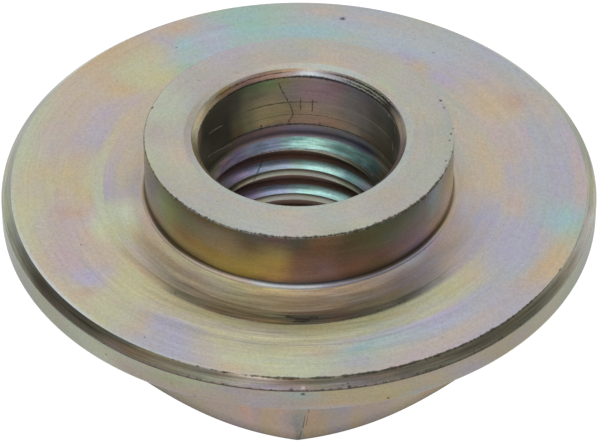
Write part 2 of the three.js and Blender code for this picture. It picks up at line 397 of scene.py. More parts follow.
# The fillet at the collar's foot: painted shade next to the collar, where it mirrors the dark wall, and a
# painted highlight where it meets the recess, for the light from above that it reflects. The film's tints run
# through both.
PAINTED_SHADE_AT_FOOT = ("0 clay 0.6, 90 clay, 180 clay, 197 bronze 0.5, 210 bronze 0.35, 228 bronze 0.4, 242 umber 0.7,"
             "262 slate 0.9, 285 slate 0.6, 300 umber 0.5, 318 umber 0.4, 335 bronze 0.45, 350 amber 0.6")
PAINTED_HIGHLIGHT_AT_FOOT = ("0 peach 0.9, 90 grey, 180 peach 0.9, 195 amber 0.8, 207 peach 0.95, 217 peach 1.2,"
               "226 peach 1.35, 240 peach 1.45, 250 rose 1.4, 260 mist 1.75, 272 mist 1.75, 283 lilac 1.2,"
               "300 lilac 0.85, 322 lilac 0.8, 342 amber 0.8")
PAINTED_HALF_LIGHT_AT_FOOT = ("0 peach 0.7, 90 grey, 180 peach 0.7, 195 amber 0.35, 207 bronze 0.28, 217 bronze 0.3,"
               "226 bronze 0.7, 240 amber, 250 rose, 260 mist 1.4, 272 mist 1.4, 283 mauve 0.6,"
               "300 umber 0.45, 322 umber 0.4, 342 bronze 0.6")
paint("fillet", 0.2, PAINTED_SHADE_AT_FOOT, PAINTED_SHADE_AT_FOOT, PAINTED_HALF_LIGHT_AT_FOOT, PAINTED_HIGHLIGHT_AT_FOOT, PAINTED_HIGHLIGHT_AT_FOOT, clear=0.95)
for k in rows_of("fillet"):
    metal[k] = 1 - np.sqrt(in_shade) * 0.85 * shares[k]
# The recess: the film's tints. In the level beside the fillet they are raised up to about twice in front, as
# painted light.
paint("recess", 0.36,
      "0 peach, 30 grey, 60 grey, 90 dune, 120 grey, 150 sand, 170 peach, 180 rose, 190 mauve 1.2,"
      "200 peach 1.8, 212 peach 2.1, 225 straw 2, 240 straw 1.7, 262 brass 1.35, 275 amber 1.75,"
      "285 amber 1.6, 300 rose 1.6, 315 mist 1.9, 330 mauve 1.8, 345 rose 1.3",
      "0 peach, 30 grey, 60 grey, 90 dune, 120 grey, 150 sand, 170 peach, 180 sand, 190 mauve,"
      "200 peach 1.25, 212 amber 1.5, 222 amber 1.35, 232 peach 1.15, 242 sand 1.15, 250 straw,"
      "262 wheat 1.05, 272 amber 0.95, 282 peach 1.05, 292 amber, 303 rose 0.9, 315 mauve 1.15,"
      "330 rose 1.35, 345 lilac 1.15",
      "0 peach, 30 peach, 60 grey, 90 dune, 120 grey, 150 peach, 170 peach, 182 sand, 190 mauve, 200 dune,"
      "210 amber 1.15, 220 peach 1.35, 230 peach 1.35, 240 peach 1.1, 250 wheat 0.95, 260 peach, 270 tan,"
      "280 amber 0.95, 290 sand 0.85, 300 rose 0.9, 310 mauve 1.2, 320 mauve 1.25, 332 rose, 345 mauve",
      scored=1 + 8 * widening)
for k in rows_of("recess"):
    metal[k] = 1 - in_shade ** (0.4 + 0.6 * shares[k]) * (0.85 - 0.35 * shares[k])
# The crease and the recess's cone: darker in front, about 240 to 300 degrees, as a painted dark reflection,
# the crescent.
paint("crease", 0.36,
      "0 peach, 60 grey, 90 dune, 150 peach, 185 mauve, 205 lime, 218 peach 1.2, 228 peach 1.15,"
      "238 peach 0.85, 248 tan 0.8, 262 tan 0.7, 270 clay 0.7, 280 clay 0.8, 290 tan 0.75, 300 tan 0.95,"
      "310 mauve, 320 rose 1.25, 335 mauve, 348 lilac",
      clear=1 - 0.5 * in_shade, scored=1 + 10 * widening)
paint("ramp", 0.36,
      "0 peach, 60 grey, 90 dune, 150 peach, 185 lime, 205 straw 1.05, 218 peach 1.2, 230 amber 1.05,"
      "240 wheat 0.75, 250 tan 0.55, 262 sage 0.55, 270 sage 0.48, 280 umber 0.75, 290 tan 0.5, 300 tan 0.75,"
      "310 dune 1.2, 322 rose 1.4, 335 mauve, 348 lilac",
      "0 peach, 60 grey, 90 dune, 150 peach, 185 lime, 205 straw, 216 wheat, 224 amber, 232 tan 1.2,"
      "240 smoke 1.4, 250 clay 0.8, 260 bronze 0.75, 270 smoke, 279 umber 0.6, 290 smoke 0.9, 302 smoke,"
      "311 ash 1.15, 320 rose 0.95, 332 mauve 0.95, 348 lilac",
      clear=1 - 0.4 * in_shade, scored=1 + 14 * widening)
patches("recess", "lime 200 9 8.5 0.6 0.75 1.35")
patches("crease", "lime 197 7 9.1 0.6 0.9 1.08")
patches("ramp", "lime 198 7 9.6 0.5 0.9 1.08")
paint("face", 0.29,
      "0 mauve, 14 rose, 30 peach, 45 sand, 60 sand, 75 grey, 105 grey, 120 jade, 133 straw, 149 rose,"
      "165 mauve, 181 amber, 195 rose, 210 peach, 225 straw, 245 wheat, 262 straw, 315 straw, 330 sand,"
      "345 mist",
      "0 mist, 16 mist, 30 peach, 44 mauve, 58 sky, 75 sky, 90 aqua, 106 aqua, 120 sky, 134 straw, 150 peach,"
      "165 rose, 181 straw, 195 rose, 210 rose, 225 straw, 240 mauve, 255 straw, 270 straw, 286 jade,"
      "300 lilac, 315 mist",
      "0 rose, 16 mauve, 32 mist, 46 mist, 60 grey, 75 mist, 90 sand, 105 jade, 120 rose, 135 amber,"
      "150 peach, 165 lime, 180 dune, 195 lime, 210 peach, 225 straw, 241 mist, 255 peach, 270 lime,"
      "285 sand, 300 rose, 316 mauve, 330 amber, 346 jade")
patches("face",
        "straw 312 14 10.3 0.7 0.9 0.95, amber 322 5 10.6 0.6 0.6, khaki 268 34 10.5 0.35 0.7,"
        "straw 262 45 11.2 0.18 0.8 1.1, sand 262 40 11.55 0.15 0.6, violet 303 22 11.5 0.3 0.8,"
        "violet 246 6 11.45 0.2 0.6, rose 255 12 10.9 0.25 0.6, straw 300 24 11.15 0.2 0.7,"
        "aqua 284 3 12.1 0.3 0.7 0.9, sky 300 14 12.2 0.4 0.7, amber 275 4 12.1 0.4 0.6,"
        "lime 262 20 12.9 0.5 0.7 1.05, peach 300 12 12.9 0.4 0.7, violet 284 3 13 0.4 0.6,"
        "lilac 318 9 12.3 0.6 0.7, amber 334 7 13.1 0.7 0.8, rose 340 4 12.4 0.5 0.8,"
        "aqua 347 5 12.8 0.8 0.9, violet 338 9 10.9 1.1 0.8, violet 338 5 10.2 0.6 0.5,"
        "rose 350 6 10.3 0.8 0.7, violet 5 9 12.4 0.7 0.6, rose 5 12 13.4 0.3 0.9, amber 12 5 10.2 0.5 0.6,"
        "rose 16 8 10.8 0.8 0.6, amber 33 7 11 1.3 0.55, copper 30 4 12.2 0.7 0.5 1.15,"
        "violet 49 4 10.6 0.8 0.7, amber 55 2.5 10.4 0.5 0.8, violet 60 3 10.9 0.6 0.6,"
        "rose 72 9 12.9 0.5 0.6, sky 62 9 11.8 0.7 0.6, rose 86 5 13 0.4 0.7, aqua 88 12 11.4 0.6 0.8,"
        "jade 101 7 12.4 1.2 0.9, teal 102 5 12.3 0.9 0.5, sky 113 4 11 0.8 0.9, violet 111 3 12.4 0.4 0.6,"
        "amber 120 3 13.3 0.4 0.8, aqua 122 2.5 11.7 0.7 0.8, violet 125 1.6 12.6 1 0.6,"
        "straw 132 5 11.2 1.6 0.9, amber 142 3 11.6 1.9 0.75, amber 137 5 13.3 0.5 0.7, rose 152 6 11 1 0.7,"
        "mauve 163 5 10.7 0.8 0.8, mauve 154 4 10.7 0.7 0.7, straw 178 8 10 0.4 0.9,"
        "lime 200 6 10 0.7 0.95 1.05, amber 178 6 12.2 1.1 0.5, straw 188 16 13.2 0.4 0.9 1.05,"
        "peach 183 5 12.8 0.5 0.5, rose 195 4 11.2 1 0.9, copper 192 2 11 0.7 0.5 1.2,"
        "violet 216 4 11.8 1 0.9 1.05, rose 211 3 12.6 0.9 0.8, copper 220 1.5 12.7 0.7 0.5 1.2,"
        "straw 226 4 11.7 1.6 0.9, amber 234 2 12.6 1 0.7, violet 242 7 12.2 0.8 0.8 1.03,"
        "lilac 243 8 13.3 0.5 0.8, rose 251 3 12.8 0.9 0.6, frost 213 28 13.72 0.12 0.5")
for k in rows_of("face"):
    score[k] = 1 + 5 * widening * np.exp(-((section[k, :, 0] - 11) / 1.3) ** 2)
paint("face_edge", 0.26, "0 grey, 60 pearl, 120 jade, 180 lime, 225 sky, 262 pearl, 300 mist, 340 grey")
# The chamfer: its dark band in front, soot and smoke, is partly dirt and partly painted shade, for the dark
# surroundings that the chamfer reflects.
paint("chamfer", 0.30,
      "0 straw 0.9, 20 sage, 45 sage, 70 steel 0.8, 120 grey 0.8, 150 steel 0.8, 175 dune 0.85,"
      "188 lime 0.74, 196 pearl 0.56, 204 steel 0.34, 212 soot, 220 soot 1.4, 228 smoke 0.9, 236 smoke 1.2,"
      "244 tan, 252 sand 0.7, 260 peach, 268 clay 0.95, 276 smoke 1.6, 284 smoke 1.3, 292 soot 2.2,"
      "300 soot 2.1, 308 smoke 1.15, 316 soot 2.1, 324 smoke 1.7, 332 wheat 0.75, 340 dune 1.03,"
      "348 dune 1.2",
      "0 straw 0.85, 20 sage, 45 sage, 70 steel 0.8, 120 grey 0.8, 150 steel 0.8, 175 dune 0.8,"
      "188 lime 0.62, 196 lime 0.5, 204 smoke 1.4, 212 soot 1.4, 220 smoke 1.2, 228 smoke 1.2, 236 clay 0.65,"
      "244 smoke 1.5, 252 sage, 260 sand 0.9, 268 plum 1.1, 276 smoke 1.2, 284 ash 0.8, 292 smoke 1.7,"
      "300 smoke 1.2, 308 soot 2.2, 316 smoke 1.35, 324 smoke 1.95, 332 sand 0.8, 340 sand, 348 sand 1.1",
      clear=0.9 - 0.6 * edge_on, scored=11)
patches("chamfer",
        "soot 214 8 13.9 0.06 0.6 0.7, soot 226 5 13.92 0.06 0.6 0.75, soot 311 10 13.88 0.05 0.5 0.8,"
        "copper 217 8 14.06 0.07 0.45 0.35, rose 233 3 14.06 0.05 0.6 0.6, copper 237 5 13.94 0.07 0.6 0.45,"
        "peach 247 4 13.99 0.06 0.7 0.75, copper 254 3 13.87 0.05 0.6 0.75, peach 260 3 13.9 0.07 0.6 0.85,"
        "lilac 264 4 14.09 0.07 0.8 0.8, soot 270.5 3 13.86 0.05 0.6 1.2, mauve 280 5 14.03 0.05 0.6 0.6,"
        "copper 286 5 13.9 0.05 0.6 0.45, slate 292 2 14.03 0.08 0.5 0.35, copper 306 10 13.93 0.07 0.4 0.3")
paint("rim_edge", 0.28, "0 pearl, 90 grey, 180 pearl, 200 steel, 225 steel 0.8, 240 smoke 0.9, 262 smoke 0.7,"
                        "285 smoke 0.7, 305 smoke, 330 steel")
# The rim: the film's tints dimmed, with gains of about 0.3 to 0.85, as painted shade for the shaded floor
# under the flange that the rim reflects.
paint("rim", 0.36,
      "0 lime 0.45, 60 sand, 120 grey, 175 grey 0.8, 190 dune 0.62, 200 dune 0.6, 212 straw 0.6,"
      "225 lime 0.75, 240 steel, 250 lime 0.7, 260 peach 0.72, 270 dune 0.7, 280 wheat 0.75, 290 wheat 0.75,"
      "300 peach 0.7, 312 peach 0.67, 322 straw 0.64, 332 lime 0.52, 342 lime 0.45, 350 lime 0.36",
      "0 lime 0.3, 60 sand, 120 grey, 180 grey 0.7, 192 dune 0.6, 202 steel 0.57, 215 lime 0.64,"
      "230 dune 0.85, 240 sand 0.72, 250 rose 0.72, 262 peach 0.7, 270 rose 0.72, 280 peach 0.73,"
      "290 wheat 0.74, 300 sand 0.73, 312 wheat 0.7, 322 straw 0.65, 332 sage, 342 dune 0.41,"
      "350 lime 0.27", clear=1 - 0.7 * edge_on)
patches("rim",
        "mauve 264 4 8.7 0.4 0.7 0.75, lilac 258 3 9.1 0.2 0.6 0.7, aqua 271 2.5 9.1 0.15 0.45 0.75,"
        "sky 277 6 8.25 0.14 0.8 0.75, wheat 286 6 8.9 0.3 0.6 0.8, mauve 303 4 8.6 0.4 0.7 0.75,"
        "sky 293 3 8.35 0.2 0.6 0.7, amber 296 2 8.8 0.3 0.6 0.75, moss 247 4 8.9 0.3 0.4 1.1,"
        "mauve 236 3 8.6 0.4 0.4 0.7, mauve 316 3 8.8 0.3 0.5 0.7")
paint("underside", 0.40, "0 tan, 45 steel, 90 sage, 135 tan, 180 rose 0.7, 225 steel, 270 tan, 315 mauve 0.7")
paint("hex_root", 0.40, "0 clay, 60 sage, 120 tan, 180 clay, 240 sage, 300 clay")
# The hexagon: in front, below its top, the tints are dimmed, with gains of about 0.6 to 0.8, as painted shade
# for the shaded floor under the flange that its faces reflect.
paint("hexagon", 0.36,
      "0 tan, 30 steel, 60 tan, 90 sage, 120 clay, 150 steel, 180 tan, 210 tan, 222 mauve 0.9, 235 steel 0.9,"
      "250 tan 1.2, 262 tan, 270 sage 0.8, 278 sky 0.85, 286 tan 1.2, 298 sand 0.9, 310 ash 1.2,"
      "330 sand 0.9",
      "0 rose 0.7, 30 tan, 60 steel, 90 tan, 120 sage, 150 tan, 180 rose 0.7, 210 steel, 240 amber 0.76,"
      "247 amber 0.78, 253 copper 1.25, 259 amber 0.74, 266 copper 1.1, 268.6 rose 0.68, 269.6 pearl 0.62,"
      "270.5 pearl 0.62, 271.5 amber 0.66, 276 rose 0.64, 281 mauve 0.66, 287 rose 0.75, 294 amber 0.78,"
      "300 rose 0.7, 330 tan",
      "0 tan, 45 sage, 90 clay, 135 tan, 180 steel 0.8, 240 peach 0.66, 248 rose 0.68, 254 rose 0.66,"
      "260 amber 0.68, 266 rose 0.7, 268.6 rose 0.62, 269.6 ash 0.8, 270.5 ash 0.8, 271.5 amber 0.62,"
      "276 amber 0.64, 282 mauve 0.62, 288 amber 0.66, 296 rose 0.64, 310 tan")
patches("hexagon",
        "amber 262 2.5 2.8 1.2 0.8 0.72, copper 251 2 2.2 0.6 0.5, orchid 257 2 2.4 0.5 0.5 0.75,"
        "sky 280 4 3.1 0.4 0.6 0.65, amber 283 2 1.6 0.4 0.6 0.7, copper 274 1.5 2.8 0.5 0.5,"
        "orchid 288 4 2.6 0.4 0.5 0.75")
paint("hex_edge", 0.30, "0 smoke, 60 clay, 120 smoke, 180 clay, 240 smoke, 300 clay")
paint("cone", 0.36, "0 tan, 60 steel, 120 rose 0.7, 180 tan, 240 sage, 300 mauve 0.7")
paint("foot", 0.36, "0 dune, 45 peach, 90 mist, 135 straw, 180 rose, 225 aqua, 270 straw, 315 lilac")
paint("shelf", 0.24,
      "0 soot, 24 soot, 36 teal 0.14, 48 teal 0.27, 62 teal 0.5, 78 ice 0.75, 88 ice 0.55, 98 aqua 0.6,"
      "108 azure 0.55, 122 azure 0.45, 134 orchid 0.4, 146 orchid 0.3, 156 plum 0.7, 180 soot, 270 smoke",
      "0 soot, 24 soot, 36 teal 0.16, 48 teal 0.32, 62 teal 0.55, 78 teal 0.9, 88 teal 0.75, 98 aqua 0.5,"
      "108 azure 0.5, 122 azure 0.4, 134 orchid 0.4, 144 wine 0.6, 152 smoke, 180 soot,"
      "270 smoke", clear=0.85, scored=12)
paint("band", 0.4,
      "0 soot, 30 smoke 1.4, 50 ink, 65 ink 1.2, 85 plum 0.8, 105 plum, 125 plum, 145 smoke, 180 soot",
      "0 soot, 30 smoke 2, 50 slate 1.3, 65 slate 1.9, 85 orchid 1.2, 105 wine 1.5, 125 wine 1.3,"
      "145 smoke 1.5, 180 soot",
      "0 soot, 30 clay, 50 ash 1.3, 65 mauve 1.1, 80 rose 1.3, 105 wine 1.5, 125 ash, 145 olive, 180 soot",
      clear=0.4, scored=3)
paint("bore", 0.5,
      "0 smoke, 20 soot 1.9, 30 clay 0.5, 42 umber, 52 umber 1.4, 60 peach 1.2, 72 copper 1.9, 88 copper 2,"
      "102 clay 2.2, 112 amber 1.5, 121 khaki 1.2, 130 brown, 140 soot 1.7, 155 soot 2, 180 tan, 270 umber",
      "0 sage, 10 moss, 20 smoke 0.9, 40 smoke 1.5, 50 sand 0.8, 60 rose, 70 peach 1.3, 82 amber 1.4,"
      "92 tan 1.4, 102 brass 1.1, 112 brass 1.2, 121 khaki 1.1, 130 khaki 0.7, 140 soot 1.4, 155 soot 1.3,"
      "165 smoke, 180 straw 0.6, 270 umber",
      "0 sage, 10 soot 1.6, 20 soot 1.3, 30 smoke 0.8, 40 ash 0.5, 50 rose 0.7, 60 ash 1.4, 70 wine 1.9,"
      "85 wine 1.9, 95 rose 1.1, 106 tan 1.3, 120 tan 0.9, 130 smoke, 140 soot 1.5, 160 soot 1.1, 180 bronze,"
      "270 umber",
      "0 smoke, 20 smoke 0.7, 40 ash 0.7, 55 slate 1.3, 68 wine 1.3, 80 rose 1.1, 90 peach, 99 khaki 1.2,"
      "108 fern 1.7, 120 fern, 131 soot 1.7, 145 soot 1.6, 160 olive 0.4, 172 bronze, 180 tan,"
      "270 umber", clear=0.3, scored=3)
paint("lead", 0.28,
      "0 rose, 12 tan, 24 smoke 0.8, 34 soot, 48 smoke 1.2, 60 slate 0.9, 72 ink 1.1, 84 slate 1.2,"
      "98 copper 0.9, 108 maroon 0.7, 122 umber, 134 umber 0.8, 146 clay, 158 wheat 1.2, 170 straw 1.35,"
      "182 straw 1.5, 195 clay, 270 ash",
      "0 rose, 12 tan, 24 tan 0.7, 34 smoke 0.6, 48 grey 0.6, 60 pearl 0.9, 72 white, 84 frost 1.1, 96 mauve,"
      "104 copper, 112 maroon, 124 maroon 0.8, 136 brown, 148 khaki, 160 amber 1.4, 174 straw 1.4,"
      "185 wheat 1.35, 270 ash",
      "0 rose, 12 peach 0.7, 24 ash 0.8, 34 soot, 48 moss 0.8, 60 slate, 72 plum, 84 white 0.9,"
      "94 copper 1.1, 104 copper, 112 maroon 1.1, 124 maroon 0.9, 136 brown 0.9, 148 amber 0.9,"
      "160 amber 1.4, 174 straw 1.4, 185 wheat 1.35, 270 ash",
      "0 sand, 12 sand, 24 ash, 34 smoke, 48 sage, 60 maroon, 72 rose, 84 peach 1.2, 94 amber, 104 clay,"
      "112 clay, 124 sand, 136 gold, 148 straw, 160 straw 1.1, 174 straw 1.2, 185 wheat 1.2,"
      "270 ash", clear=0.9, scored=5)

# the thread: pale crests; upper flanks in the film's tints, lightened as a painted reflection of the light
# above; grooves darkened as painted shade
CRESTS = "0 smoke, 30 smoke, 50 sage, 70 dune 0.9, 110 dune 0.9, 130 tan, 150 smoke, 180 smoke, 270 tan"
FLANK_TINTS_AND_REFLECTION = ("0 smoke, 36 slate, 50 teal 0.7, 62 ice 0.8, 75 ice, 88 ice 0.9, 96 aqua 1.2, 104 azure 1.2,"
          "114 azure 1.05, 124 orchid, 134 orchid 0.75, 142 slate, 180 smoke")
GROOVE_PAINTED_SHADE = "0 soot, 60 umber 0.9, 80 maroon, 100 maroon, 130 wine 0.7, 180 soot, 270 umber 0.5"
# painted highlight on two rows of the upper flank
FLANK_PAINTED_HIGHLIGHT = {6: 1.15, 7: 1.3}  # two rows of the upper flank, and by how much
for k in range(first_thread_row, last_thread_row + 1):
    place = (k - first_thread_row) % TURN_ROWS  # 0 to 4 is the crest, 5 to 7 the upper flank, then the groove
    kind = CRESTS if place <= 4 else FLANK_TINTS_AND_REFLECTION if place <= 7 else GROOVE_PAINTED_SHADE
    tint[k] = round_axis(kind, degrees + sway[k]) * FLANK_PAINTED_HIGHLIGHT.get(place, 1)
    gloss[k] = 0.25 if kind == FLANK_TINTS_AND_REFLECTION else 0.34
    metal[k] = 0.45 if kind == GROOVE_PAINTED_SHADE else 0.8
    score[k] = 5 if kind == FLANK_TINTS_AND_REFLECTION else 2

# -------------------- where edges are ragged, dark or worn bright, and painted shade on the recess's cone in front
soil_and_shade = np.zeros((ROWS, COLUMNS))
wear = np.zeros((ROWS, COLUMNS))


def around(stops):
    """A number in every column, from stops such as '0 0.2, 90 0.5': degrees and the number there."""
    where, value = np.array([stop.split() for stop in stops.split(",")], dtype=float).T
    return np.interp(degrees, where, value, period=360)


def along(target, zone, before, after, stops, at_end=False):
    """Raise an amount beside the first (or last) row of a zone, fading over before and after millimetres."""
    members = rows_of(zone)
    place = track[members[-1] if at_end else members[0]]
    for k in range(ROWS):
        off = track[k] - place
        if -before < off < after:
            fade = 1 + off / before if off < 0 else 1 - off / after
            target[k] = np.maximum(target[k], fade * around(stops))


along(soil_and_shade, "collar_edge", 0.25, 0.35,
      "0 0.35, 60 0.2, 120 0.2, 160 0.35, 200 0.45, 225 0.52, 240 0.5, 262 0.52, 285 0.58, 300 0.64, 330 0.6,"
      "345 0.45")
along(soil_and_shade, "chamfer", 0.16, 0.22,
      "0 0.2, 90 0.1, 190 0.3, 235 0.35, 250 0.42, 265 0.6, 275 0.66, 300 0.6, 320 0.5")
along(soil_and_shade, "chamfer", 0.7, 0.1,
      "225 0, 240 0.36, 258 0.36, 275 0.42, 300 0.4, 325 0.3, 345 0", True)
along(wear, "chamfer", 0.6, 0.1, "215 0, 235 0.5, 262 0.6, 280 0.5, 300 0.1, 310 0", True)
along(soil_and_shade, "rim_edge", 0.1, 0.04, "0 0.1, 90 0.1, 200 0.25, 235 0.45, 262 0.5, 275 0.5, 300 0.45, 330 0.3")
along(wear, "rim_edge", 0.2, 0.04, "0 0.1, 90 0.1, 210 0.2, 235 0.8, 262 0.9, 280 0.9, 300 0.3")
along(soil_and_shade, "lead", 0.14, 0.14, "0 0.4, 60 0.7, 90 0.6, 120 0.7, 180 0.4, 270 0.3")
along(soil_and_shade, "bore", 0.1, 0.1, "0 0.5, 70 0.7, 95 1, 125 1, 150 0.5, 270 0.3")
along(soil_and_shade, "shelf", 0.03, 0.06, "0 0.6")
along(wear, "shelf", 0.05, 0.07, "0 0.3, 50 0.7, 120 0.8, 150 0.4, 270 0")
# painted shade: a ragged dark edge along the outer end of the recess's cone, in front
along(soil_and_shade, "ramp", 0.45, 0.08, "215 0, 235 0.42, 270 0.52, 300 0.48, 312 0.2, 322 0", True)

# painted shade, where the metal turns away from the light: beside the collar's foot and at the lower edges
painted_shade = np.zeros((ROWS, COLUMNS))
along(painted_shade, "fillet", 0.45, 0.1,
      "0 0, 180 0.1, 195 0.3, 208 0.6, 262 0.4, 290 0.6, 318 0.7, 335 0.4, 350 0.1")
along(painted_shade, "underside", 0.3, 0.1, "0 0.35")
along(painted_shade, "hex_root", 0.3, 0.35, "0 0.45")
along(painted_shade, "hex_edge", 0.25, 0.1, "0 0.5")
tint *= 1 - painted_shade[:, :, None]

# -------------------- the mesh
MILLIMETRE = 0.001
WELD = 1e-7  # metres: nearer corners are one corner
SHARP_ANGLE = 38  # degrees


def build_mesh():
    """Faces between neighbouring rows and columns. Across the seam the thread's rows shift by one turn."""
    radius, height = section[:, :, 0] * MILLIMETRE, section[:, :, 1] * MILLIMETRE
    places = np.stack([radius * np.cos(angle), radius * np.sin(angle), height], axis=2).reshape(-1, 3)
    keys = np.round(places / WELD).astype(np.int64)
    _, first, same = np.unique(keys, axis=0, return_index=True, return_inverse=True)
    same = same.ravel()

    def across(row, over_seam):
        if over_seam and first_thread_row <= row <= last_thread_row:
            return min(row + TURN_ROWS, last_thread_row)
        return row

    faces = []
    for k in range(ROWS):
        above = (k + 1) % ROWS
        for i in range(COLUMNS):
            j = (i + 1) % COLUMNS
            loop = [(k, i), (above, i), (across(above, j == 0), j), (across(k, j == 0), j)]
            ids = [int(same[r * COLUMNS + c]) for r, c in loop]
            kept = [ids[n] for n in range(4) if ids[n] != ids[n - 1]]
            if len(set(kept)) > 2:
                faces.append(kept)
    mesh = bpy.data.meshes.new("nut")
    mesh.from_pydata(places[first].tolist(), [], faces)
    return mesh, first


mesh, first = build_mesh()
mesh.validate()
nut = bpy.data.objects.new("nut", mesh)
scene.collection.objects.link(nut)

colour = mesh.color_attributes.new("tint", "FLOAT_COLOR", "POINT")
flat_tint = tint.reshape(-1, 3)[first]
colour.data.foreach_set("color", np.concatenate([flat_tint, np.ones((len(flat_tint), 1))], axis=1).ravel())
for name, amount in (("gloss", gloss), ("metal", metal), ("score", score), ("soil_and_shade", soil_and_shade), ("wear", wear)):
    mesh.attributes.new(name, "FLOAT", "POINT").data.foreach_set("value", amount.reshape(-1)[first])

mesh.polygons.foreach_set("use_smooth", [True] * len(mesh.polygons))
mesh.set_sharp_from_angle(angle=radians(SHARP_ANGLE))
print("rows", ROWS, "columns", COLUMNS, "triangles", sum(len(p.vertices) - 2 for p in mesh.polygons))

# -------------------- the metal
SCUFFED = (0.32, 0.25, 0.24, 1)
# the dark laid on ragged dirty edges, and as painted shade on the recess's cone in front
SOILED_AND_SHADED = (0.045, 0.035, 0.025, 1)
SPECK = (0.03, 0.025, 0.02, 1)
DARK_MARK = (0.02, 0.018, 0.02, 1)
PALE_MARK = (0.6, 0.58, 0.54, 1)
BUMP_HEIGHT = 0.0000012  # metres

steel = bpy.data.materials.new("passivated_steel")
steel.use_nodes = True
tree = steel.node_tree


def new(kind, *values, **settings):
    """Add a node. The values fill its inputs in order: a socket is linked, None leaves an input as it is."""
    node = tree.nodes.new("ShaderNode" + kind)
    for name, value in settings.items():
        setattr(node, name, value)
    for socket, value in zip(node.inputs, values):
        fill(socket, value)
    return node


def fill(socket, value):
    if isinstance(value, bpy.types.NodeSocket):
        tree.links.new(value, socket)
    elif value is not None:
        socket.default_value = value


def maths(operation, *values):
    return new("Math", *values, operation=operation).outputs[0]


def times(a, b):
    return maths("MULTIPLY", a, b)


def vector(operation, *values):
    return new("VectorMath", *values, operation=operation).outputs[0]


def measure(operation, *values):
    """A sum with vectors that gives a number."""
    return new("VectorMath", *values, operation=operation).outputs["Value"]


def scaled(value, factor):
    node = new("VectorMath", value, operation="SCALE")
    node.inputs["Scale"].default_value = factor
    return node.outputs[0]


def weighted(*pairs):
    """The sum of some values, each times its own weight."""
    total = 0
    for value, weight in pairs:
        total = maths("MULTIPLY_ADD", value, weight, total)
    return total


def highest(values):
    """The largest of some values, as of the masks of several marks."""
    total = values[0]
    for value in values[1:]:
        total = maths("MAXIMUM", total, value)
    return total


def stored(name, output="Fac"):
    return new("Attribute", attribute_name=name).outputs[output]


def step(value, low, high):
    """0 below low, 1 above high, smooth between."""
    return new("MapRange", value, low, high, interpolation_type="SMOOTHSTEP").outputs[0]


def within(value, near, far):
    """1 up to near, 0 beyond far, smooth between."""
    return maths("SUBTRACT", 1, step(value, near, far))


def blend(mode, share, a, b):
    node = new("Mix", data_type="RGBA", blend_type=mode)
    for index, value in ((0, share), (6, a), (7, b)):
        fill(node.inputs[index], value)
    return node.outputs[2]


def cover(colour, share, under):
    """A colour laid over the one under it."""
    return blend("MIX", share, under, colour)


where = scaled(new("TexCoord").outputs["Object"], 1 / MILLIMETRE)
x, y, height = new("SeparateXYZ", where).outputs
across_axis = new("CombineXYZ", x, y).outputs[0]
radius = measure("LENGTH", across_axis)
heading = vector("NORMALIZE", across_axis)
turn_degrees = maths("DEGREES", maths("ARCTAN2", y, x))


def turned(across, round_about, detail, seed, rough=0.5):
    """Noise drawn out round the axis: across is its fineness a millimetre, round_about its fineness round."""
    lift = new("CombineXYZ", None, None, maths("MULTIPLY_ADD", radius, across, seed)).outputs[0]
    place = vector("ADD", scaled(heading, round_about), lift)
    return new("TexNoise", place, times(height, across), 1, detail, rough,
               noise_dimensions="4D").outputs["Fac"]


def mottle(scale, detail, seed, rough=0.5):
    """Noise that is the same in every direction."""
    return new("TexNoise", where, seed, scale, detail, rough, noise_dimensions="4D").outputs["Fac"]


def ramp(value, *stops):
    node = new("ValToRGB", value)
    elements = node.color_ramp.elements
    elements[0].position, elements[1].position = stops[0][0], stops[-1][0]
    for place, _ in stops[1:-1]:
        elements.new(place)
    for element, (_, hue) in zip(elements, stops):
        element.color = (*hue, 1)
    return node.outputs["Color"]


# slow drifts of the film's thickness, drawn out by the turning, then small ones
FILM = ((0.28, (1.08, 0.98, 0.88)), (0.38, (1.03, 1.02, 0.90)), (0.46, (0.97, 1.03, 0.97)),
        (0.54, (0.95, 1.02, 1.05)), (0.62, (0.99, 0.97, 1.07)), (0.72, (1.06, 0.96, 1.02)))
drift = weighted((turned(0.9, 3, 3, 4), 0.6), (mottle(0.7, 3, 2), 0.4))
fine_drift = weighted((turned(5, 9, 3, 9), 0.6), (mottle(3.2, 3, 6), 0.4))
base = blend("MULTIPLY", 0.75, stored("tint", "Color"), ramp(drift, *FILM))
base = blend("MULTIPLY", 0.45, base, ramp(fine_drift, *FILM))

# turning marks
marks = turned(13, 5, 3, 1, 0.6)
broad_marks = turned(4, 3, 2, 3)
grain = maths("ADD", maths("ADD", marks, broad_marks), -1)
shade = maths("POWER", 1.18, times(grain, stored("score")))
shade = times(shade, maths("MULTIPLY_ADD", mottle(8, 2, 14, 0.7), 0.5, 0.75))
base = blend("MULTIPLY", 1, base, new("CombineXYZ", shade, shade, shade).outputs[0])

# specks, on some of the cells of a pattern
cells = new("TexVoronoi", where, None, 3, feature="F1").outputs
chosen = step(new("SeparateXYZ", cells["Color"]).outputs[0], 0.55, 0.95)
speck = times(within(cells["Distance"], 0.05, 0.2), chosen)
dust = step(mottle(9, 2, 5, 0.6), 0.60, 0.72)

